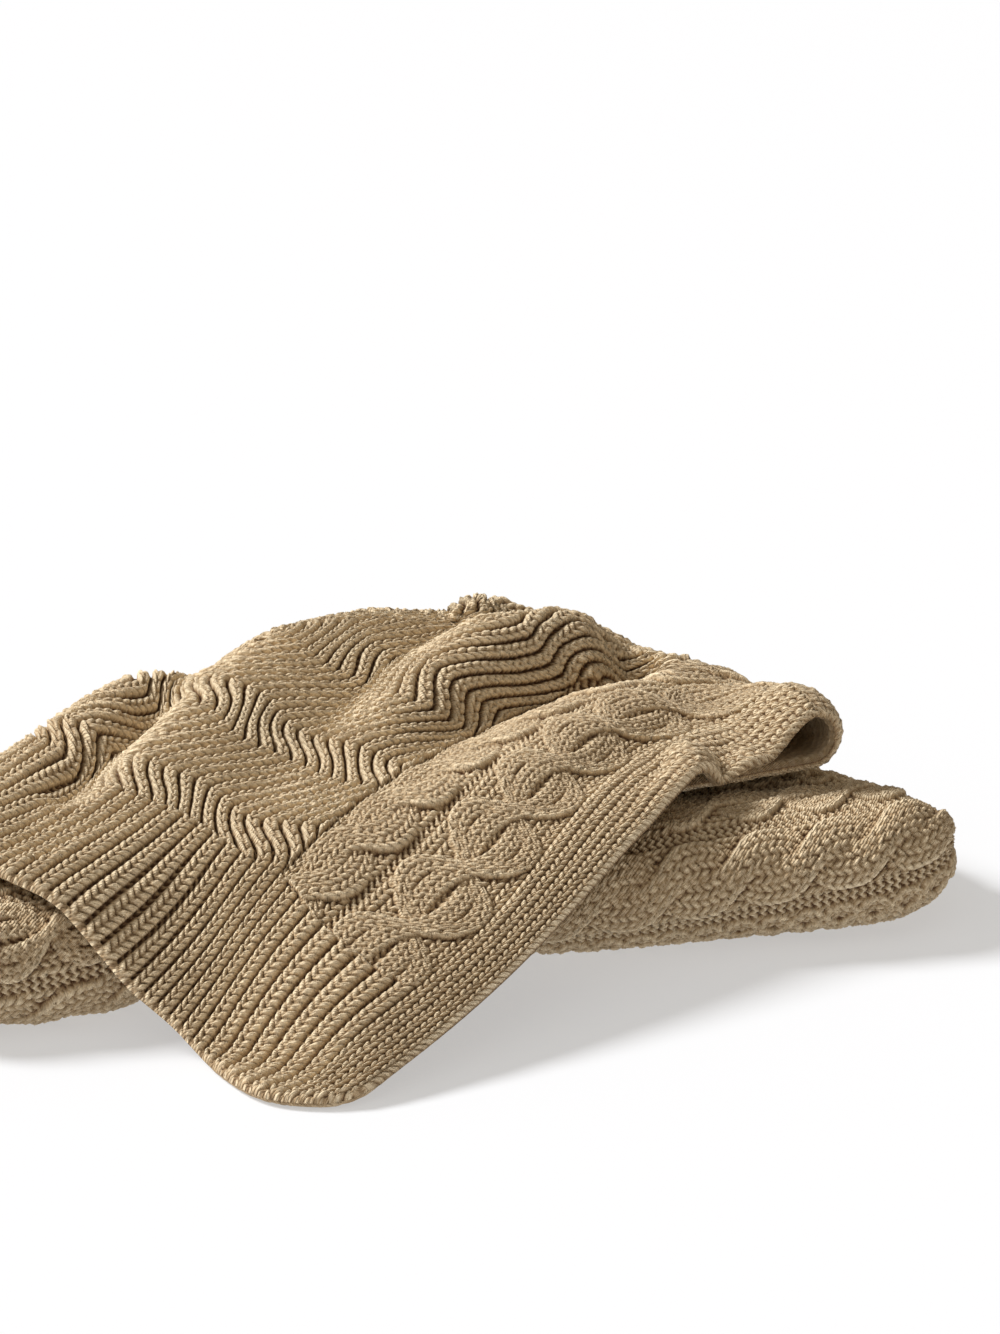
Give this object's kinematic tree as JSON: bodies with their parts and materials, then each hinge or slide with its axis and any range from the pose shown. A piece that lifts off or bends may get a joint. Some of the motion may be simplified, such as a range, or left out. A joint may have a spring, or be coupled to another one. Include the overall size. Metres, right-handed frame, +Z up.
{
  "type": "folded throw blanket",
  "caption": "Chunky cable-knit throw folded into a bundle, its loose end draped over the top with one ribbed corner hanging down in front.",
  "frame": {"origin": "on the resting surface, under the middle of the whole throw's box", "axes": "+X along the bundle to the right, -Y to the front where the loose corner hangs, +Z up"},
  "size_m": [0.63, 0.42, 0.1516],
  "materials": {
    "oatmeal_knit": "matte, softly hairy cotton-blend yarn in a heavy cable knit",
    "label_ribbon": "fine woven satin ribbon, blank"
  },
  "bodies": {
    "folded_bundle": {"bundle_outer_wrap": "oatmeal_knit", "bundle_base_layer": "oatmeal_knit", "bundle_lower_fold": "oatmeal_knit", "bundle_middle_fold": "oatmeal_knit", "bundle_upper_fold": "oatmeal_knit", "top_cable_panel": "oatmeal_knit", "top_rib_hem": "oatmeal_knit", "top_side_border": "oatmeal_knit", "turned_under_end": "oatmeal_knit", "care_label": "label_ribbon"},
    "front_flap": {"flap_cable_panel": "oatmeal_knit", "flap_rib_hem": "oatmeal_knit", "flap_side_border": "oatmeal_knit"}
  },
  "joints": [
    {"name": "front_flap_lift", "type": "hinge", "parent": "folded_bundle", "child": "front_flap", "pos_m": [0, -0.03, 0.108], "axis": [-1, 0, 0], "range_deg": [0, 60]}
  ]
}
